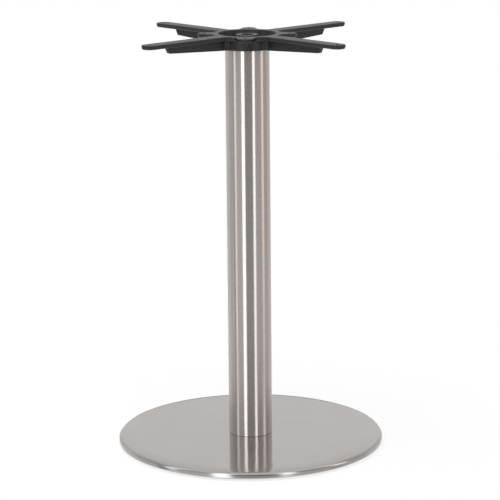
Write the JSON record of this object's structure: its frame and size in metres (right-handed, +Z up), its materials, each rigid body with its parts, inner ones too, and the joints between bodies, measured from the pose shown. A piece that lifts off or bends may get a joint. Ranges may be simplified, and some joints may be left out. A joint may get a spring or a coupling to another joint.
{
  "type": "table frame",
  "caption": "Pedestal table frame: flat round weighted base with a spun cover, tube column, and a cast cross-shaped spider that a table top is screwed to.",
  "frame": {"origin": "on the floor, below the middle of the column", "axes": "+Z up along the column, +X and +Y through the spider's ears, so that its arms lie on the diagonals"},
  "size_m": [0.464, 0.464, 0.72],
  "materials": {
    "spider_coat": "satin black powder coat on cast iron",
    "column_steel": "satin stainless steel, polished round the tube",
    "cover_steel": "satin stainless steel with a polished edge",
    "weight_iron": "primed iron",
    "black_steel": "black oxide on steel",
    "zinc_steel": "bright zinc plate",
    "locator_steel": "plain turned steel",
    "glide_plastic": "moulded black plastic"
  },
  "bodies": {
    "frame": {"top_spider": "spider_coat", "column_tube": "column_steel", "base_cover": "cover_steel", "base_weight": "weight_iron", "tie_rod": "black_steel", "top_nut": "black_steel", "top_washer": "black_steel", "foot_locator": "locator_steel", "foot_washer": "black_steel", "foot_nut": "black_steel"},
    "glide_1": {"glide_stud_1": "zinc_steel", "glide_pad_1": "glide_plastic"},
    "glide_2": {"glide_stud_2": "zinc_steel", "glide_pad_2": "glide_plastic"},
    "glide_3": {"glide_stud_3": "zinc_steel", "glide_pad_3": "glide_plastic"},
    "glide_4": {"glide_stud_4": "zinc_steel", "glide_pad_4": "glide_plastic"}
  },
  "joints": [
    {"name": "glide_1_height", "type": "slide", "parent": "frame", "child": "glide_1", "axis": [0, 0, -1], "range_m": [0, 0.004]},
    {"name": "glide_2_height", "type": "slide", "parent": "frame", "child": "glide_2", "axis": [0, 0, -1], "range_m": [0, 0.004]},
    {"name": "glide_3_height", "type": "slide", "parent": "frame", "child": "glide_3", "axis": [0, 0, -1], "range_m": [0, 0.004]},
    {"name": "glide_4_height", "type": "slide", "parent": "frame", "child": "glide_4", "axis": [0, 0, -1], "range_m": [0, 0.004]}
  ]
}
